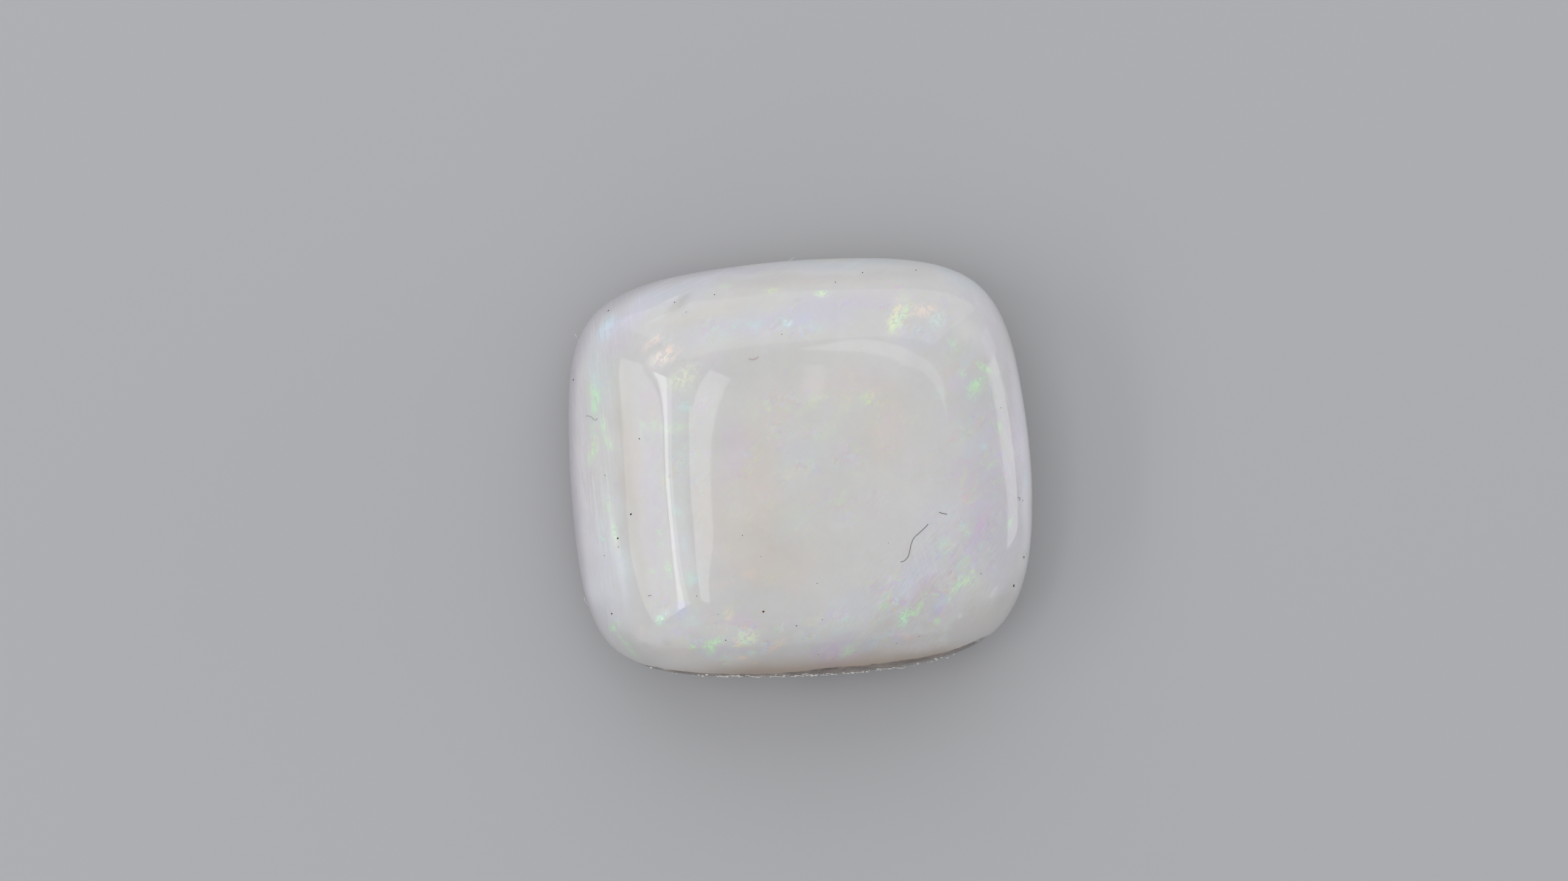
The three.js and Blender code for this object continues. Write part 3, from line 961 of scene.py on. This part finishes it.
# A small lump that lies on the surface, longer along its lean
def addLump(points, faces, place, normal, size, lean, chance, rough=(0.75, 1.15)):
    shape = bmesh.new()
    bmesh.ops.create_icosphere(shape, subdivisions=2, radius=1)
    ahead = Vector((math.cos(math.radians(lean)), math.sin(math.radians(lean)), 0))
    across = normal.cross(ahead).normalized()
    ahead = across.cross(normal)
    start = len(points)
    for vertex in shape.verts:
        x, y, z = vertex.co * chance.uniform(*rough)
        points.append(place + (ahead * x * size[0] + across * y * size[1] + normal * z * size[2]) * mm)
    faces.extend(tuple(start + vertex.index for vertex in face.verts) for face in shape.faces)
    shape.free()


def addDirt(name, points, faces, material):
    piece = addMesh(name, [insideBox(Vector(place)) for place in points], faces)
    piece.data.materials.append(material)
    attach(piece, "root")


def plainMaterial(name, colour, roughness):
    material, tree = newMaterial(name)
    finishShader(tree, {"Base Color": colour, "Roughness": roughness})
    return material


# Lint: each kind has its colour and its fibres. A fibre is its thickness and the places that it passes, in
# micrometres.
lint = {
    "dark": ((0.018, 0.017, 0.018, 1), [
        (11, [(3315, -1472), (3229, -1567), (3087, -1701), (2953, -1827), (2874, -2000), (2811, -2275),
             (2717, -2409), (2599, -2456)]),
        (12, [(3591, -1165), (3701, -1197), (3811, -1220)]),
    ]),
    "pale": ((0.72, 0.70, 0.68, 1), [
        (12, [(-5826, 3449), (-5771, 3370), (-5740, 3292), (-5716, 3197)]),
        (12, [(-441, 5197), (-330, 5292), (-236, 5370), (-141, 5433)]),
        (12, [(5780, -2173), (5851, -2204), (5859, -2299), (5796, -2362), (5756, -2291), (5796, -2236)]),
        (12, [(-5574, -3354), (-5543, -3464), (-5480, -3582)]),
    ]),
    "grey": ((0.30, 0.28, 0.27, 1), [
        (10, [(-5551, 1323), (-5488, 1331), (-5393, 1292), (-5338, 1229), (-5275, 1229), (-5252, 1276)]),
        (12, [(-3937, -3354), (-3905, -3315), (-3850, -3323)]),
        (12, [(5630, -787), (5685, -787), (5685, -866)]),
        (10, [(5764, -834), (5772, -882)]),
    ]),
    "rose": ((0.56, 0.44, 0.42, 1), [
        (18, [(-1338, 2819), (-1244, 2796), (-1149, 2819), (-1078, 2874)]),
    ]),
}
lintRoughness = 0.6


def addLint():
    for kind, (colour, fibres) in lint.items():
        points, faces = [], []
        for thick, places in fibres:
            radius = thick / 1000 / 2
            path = smoothPath([onStone(x / 1000, y / 1000, radius)[0] for x, y in places])
            addTube(points, faces, path, radius * mm)
        addDirt(kind + "_lint", points, faces, plainMaterial(kind + "Lint", colour, lintRoughness))


addLint()

# Dust: each kind has its colour and its specks. A speck is (x, y, half length, half width, lean), in
# micrometres and degrees.
dust = {
    "black": ((0.012, 0.011, 0.011, 1), [
        (-4724, -1842, 31, 31, 0), (-4385, -1220, 39, 31, 20), (5536, -3071, 63, 31, -45),
        (5796, -2330, 31, 31, 0), (-5874, 2268, 47, 24, 0), (-4968, 4055, 31, 24, 30),
        (-2220, 4473, 20, 20, 0), (914, 4796, 20, 20, 0), (1615, 5047, 24, 24, 0), (3000, 5110, 24, 20, 0),
        (-1929, -4480, 24, 20, 0),
    ]),
    "brown": ((0.16, 0.085, 0.05, 1), [
        (-4165, 740, 24, 24, 0), (-4881, -3795, 31, 39, 90), (-94, -4110, 24, 20, 0),
        (-3252, 4276, 20, 20, 0), (-1496, -1764, 16, 16, 0), (-2677, -3338, 16, 16, 0),
    ]),
    "red": ((0.15, 0.03, 0.02, 1), [
        (-952, -3740, 39, 35, 0),
    ]),
    "grey": ((0.30, 0.29, 0.28, 1), [
        (-5055, -204, 24, 16, 0), (-5078, -2291, 24, 20, 0), (575, -3952, 20, 20, 0),
        (441, -3008, 24, 20, 0), (465, -4858, 24, 20, 0), (2496, -4559, 24, 20, 0),
        (3087, -4386, 28, 20, 0), (4685, -2756, 24, 24, 0), (-4708, -2063, 24, 20, 0),
        (-2126, -3811, 20, 16, 0), (2284, -1960, 16, 16, 0), (-2952, 4024, 20, 16, 0),
        (-1023, -2315, 16, 16, 0), (5197, 1544, 20, 16, 0), (5449, 2488, 16, 16, 0),
        (-472, 3449, 28, 16, 0),
    ]),
}
dustLook = {"seed": 5, "thickMm": 0.010, "scale": 0.8, "roughness": 0.7}


def addDust():
    chance = random.Random(dustLook["seed"])
    scale = dustLook["scale"]
    for kind, (colour, specks) in dust.items():
        points, faces = [], []
        for x, y, long, wide, lean in specks:
            place, normal = onStone(x / 1000, y / 1000, 0.0)
            size = (long / 1000 * scale, wide / 1000 * scale, dustLook["thickMm"])
            addLump(points, faces, place, normal, size, lean, chance)
        addDirt(kind + "_dust", points, faces, plainMaterial(kind + "Dust", colour, dustLook["roughness"]))


addDust()

# White crumbs and short fibres caught on the rough front rim
crumbs = {
    "seed": 8,
    "colour": (0.80, 0.77, 0.74, 1),
    "roughness": 0.8,
    "mostAt": 0.8,  # where along the width most of them are
    "count": 90,
    "range": (-4.6, 4.4),
    "heights": (1.2, 2.0),
    "mostHigh": 1.6,
    "size": (0.008, 0.030),
    "flat": (1.6, 1.0, 0.8),
    "sunk": 0.2,
    "facing": (0, -0.9, 0.4),
    "lean": 25,
    "fibres": 26,
    "fibreRange": (-4.0, 3.4),
    "fibreHeights": (1.35, 1.85),
    "fibreLength": (0.08, 0.32),
    "fibreThick": 0.016,
    "fibreRise": 0.25,
    "fibreOut": 0.45,
    "fibreBend": 0.05,
}


# The place on the front wall at a distance along the width and a height
def onFrontWall(x, height, lift, near=0.05, frontY=-2, count=6):
    ring = stonePointsMm[(np.abs(stonePointsMm[:, 2] - height) < near) & (stonePointsMm[:, 1] < frontY)]
    nearest = ring[np.argsort(np.abs(ring[:, 0] - x))[:count]]
    return Vector((x, nearest[:, 1].min() - lift, height)) * mm


def addCrumbs():
    chance = random.Random(crumbs["seed"])
    facing = Vector(crumbs["facing"])
    points, faces = [], []
    for _ in range(crumbs["count"]):
        size = chance.triangular(*crumbs["size"], crumbs["size"][0])
        x = chance.triangular(*crumbs["range"], crumbs["mostAt"])
        height = chance.triangular(*crumbs["heights"], crumbs["mostHigh"])
        place = onFrontWall(x, height, size * crumbs["sunk"])
        lean = chance.uniform(-crumbs["lean"], crumbs["lean"])
        addLump(points, faces, place, facing, [size * share for share in crumbs["flat"]], lean, chance)
    for _ in range(crumbs["fibres"]):
        x = chance.triangular(*crumbs["fibreRange"], crumbs["mostAt"])
        height = chance.uniform(*crumbs["fibreHeights"])
        length = chance.uniform(*crumbs["fibreLength"])
        rise, out = chance.gauss(0, crumbs["fibreRise"]), chance.uniform(0.0, crumbs["fibreOut"]) ** 1.5
        path = []
        for t in (0.0, 0.35, 0.7, 1.0):
            up = height + rise * length * t + crumbs["fibreBend"] * math.sin(3 * t + x)
            path.append(onFrontWall(x + length * t, up, length * out * t))
        addTube(points, faces, smoothPath(path, 4), crumbs["fibreThick"] / 2 * mm)
    addDirt("rim_crumbs", points, faces, plainMaterial("rimCrumbs", crumbs["colour"], crumbs["roughness"]))


addCrumbs()
print("lint and dust placed")


# A plain pale table and soft studio light. Each panel is (middle and size in millimetres, the way it
# faces, turn in degrees about that way, brightness).
table = {"size": 1.0, "topMm": -0.02, "colour": (0.42, 0.42, 0.43, 1), "roughness": 0.7}
studio = {
    "sky": (0.96, 0.975, 1.0, 1),
    "skyStrength": 0.62,
    "panels": {
        "leftBox": ((-260, -65, 172), (330, 54), (1, 0, 0), 2, 1.9),
        "leftStrip": ((-260, -60, 213), (310, 20), (1, 0, 0), 0, 5.2),
        "leftStripEdge": ((-260, -60, 238), (310, 30), (1, 0, 0), 0, 1.8),
        "leftOverhead": ((-156, -78, 300), (215, 50), (0, 0, -1), 81, 2.1),
        "leftOverheadEnd": ((-112, 52, 300), (110, 44), (0, 0, -1), 60, 2.1),
        "back": ((0, 200, 150), (440, 270), (0, -1, 0), 0, 0.8),
        "right": ((260, 22, 50), (120, 60), (-1, 0, 0), 18, 2.3),
        "rightEnd": ((260, 110, 50), (60, 62), (-1, 0, 0), 17, 0.9),
        "backOverhead": ((38, 152, 300), (110, 36), (0, 0, -1), -37, 1.35),
        "rightOverhead": ((154, 84, 300), (165, 36), (0, 0, -1), -22, 1.0),
        "front": ((-80, -260, 110), (420, 200), (0, 1, 0), 0, 0.35),
        "small": ((-9, 96, 300), (12, 58), (0, 0, -1), 0, 1.1),
    },
}


def addTable():
    bpy.ops.mesh.primitive_plane_add(size=table["size"], location=(0, 0, table["topMm"] * mm))
    plane = bpy.context.object
    plane.name = "table"
    plane.data.materials.append(plainMaterial("paleTable", table["colour"], table["roughness"]))


def addPanel(name, middle, size, faces, turn, brightness):
    data = bpy.data.lights.new(name, "AREA")
    data.shape = "RECTANGLE"
    data.size, data.size_y = size[0] * mm, size[1] * mm
    data.energy = brightness * math.pi * data.size * data.size_y
    panel = addObject(name, data)
    panel.location = Vector(middle) * mm
    facing = Vector(faces).to_track_quat("-Z", "Y")
    panel.rotation_euler = (facing @ Quaternion((0, 0, 1), math.radians(turn))).to_euler()
    panel.visible_camera = False


def addLight():
    world = bpy.data.worlds.new("studio")
    world.use_nodes = True
    sky = world.node_tree.nodes["Background"]
    sky.inputs["Color"].default_value = studio["sky"]
    sky.inputs["Strength"].default_value = studio["skyStrength"]
    bpy.context.scene.world = world
    for name, settings in studio["panels"].items():
        addPanel(name, *settings)


addTable()
addLight()
bpy.context.scene.view_settings.view_transform = "Standard"
print("table and light set")
